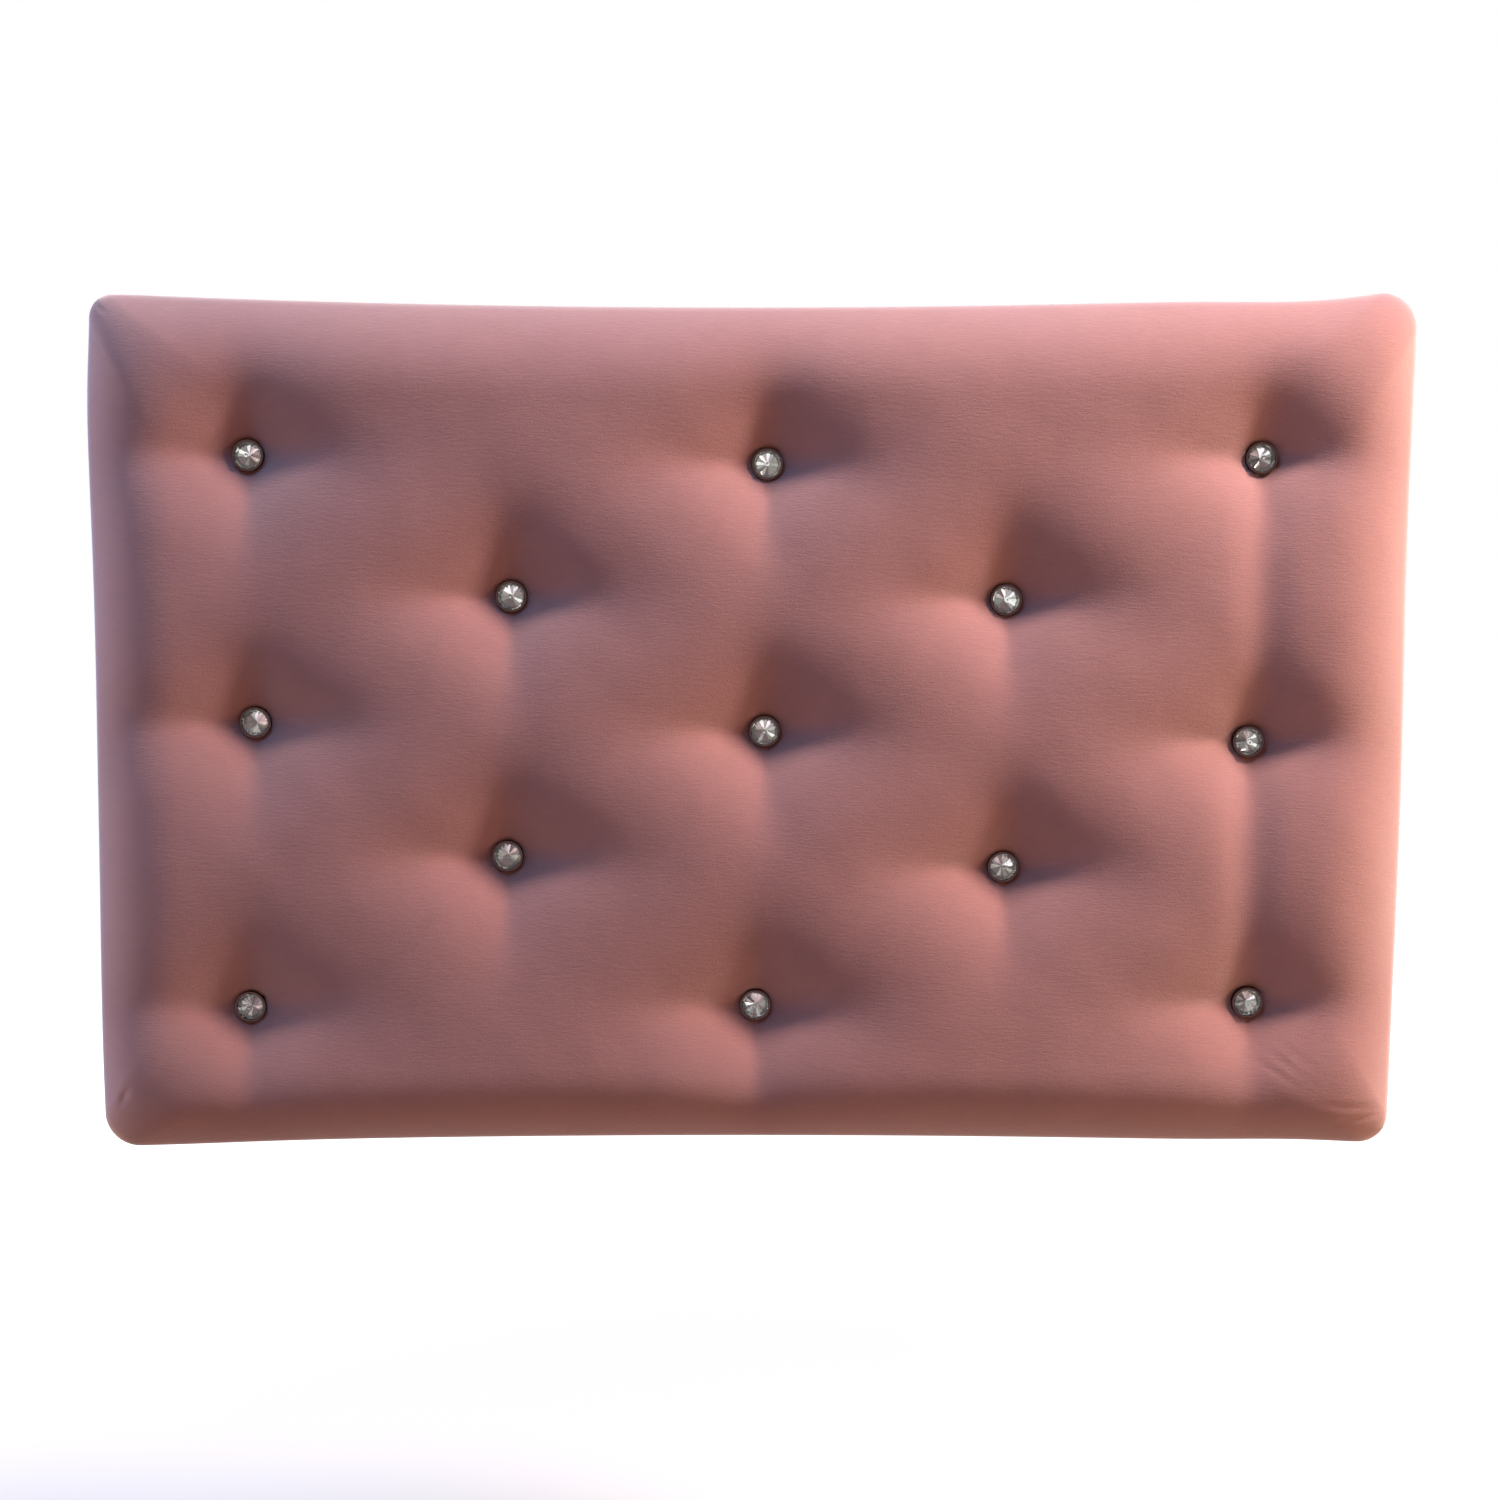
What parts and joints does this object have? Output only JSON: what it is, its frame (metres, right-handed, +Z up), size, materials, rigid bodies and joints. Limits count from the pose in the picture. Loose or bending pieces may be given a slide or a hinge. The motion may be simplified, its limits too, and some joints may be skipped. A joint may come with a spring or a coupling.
{
  "type": "headboard",
  "caption": "Deep-tufted velvet headboard panel with crystal buttons, padded front, rolled edges and threaded strut fixings in its back.",
  "frame": {"origin": "centre of the four strut bolts on the back face of the board", "axes": "+X across the width to the viewer's right, +Y out of the back, so the tufted front faces -Y, +Z up"},
  "size_m": [0.9, 0.0688, 0.588],
  "materials": {
    "velvet": "dusty rose velvet",
    "wadding": "white polyester wadding",
    "foam": "cream open-cell foam",
    "board": "bare plywood",
    "lining": "black spun-bonded lining cloth",
    "crystal": "faceted clear crystal with a silver foil behind it",
    "cup_metal": "dark polished metal",
    "eye_wire": "plain steel wire",
    "twine": "waxed upholstery twine",
    "nut_steel": "zinc-plated steel"
  },
  "bodies": {
    "root": {"velvet_cover": "velvet", "wadding_wrap": "wadding", "foam_slab": "foam", "back_board": "board", "back_lining": "lining", "tee_nuts": "nut_steel", "button_cups": "cup_metal", "button_eyes": "eye_wire", "crystal_stone_01": "crystal", "crystal_stone_02": "crystal", "crystal_stone_03": "crystal", "crystal_stone_04": "crystal", "crystal_stone_05": "crystal", "crystal_stone_06": "crystal", "crystal_stone_07": "crystal", "crystal_stone_08": "crystal", "crystal_stone_09": "crystal", "crystal_stone_10": "crystal", "crystal_stone_11": "crystal", "crystal_stone_12": "crystal", "crystal_stone_13": "crystal", "tuft_twine_01": "twine", "tuft_twine_02": "twine", "tuft_twine_03": "twine", "tuft_twine_04": "twine", "tuft_twine_05": "twine", "tuft_twine_06": "twine", "tuft_twine_07": "twine", "tuft_twine_08": "twine", "tuft_twine_09": "twine", "tuft_twine_10": "twine", "tuft_twine_11": "twine", "tuft_twine_12": "twine", "tuft_twine_13": "twine"}
  },
  "joints": []
}
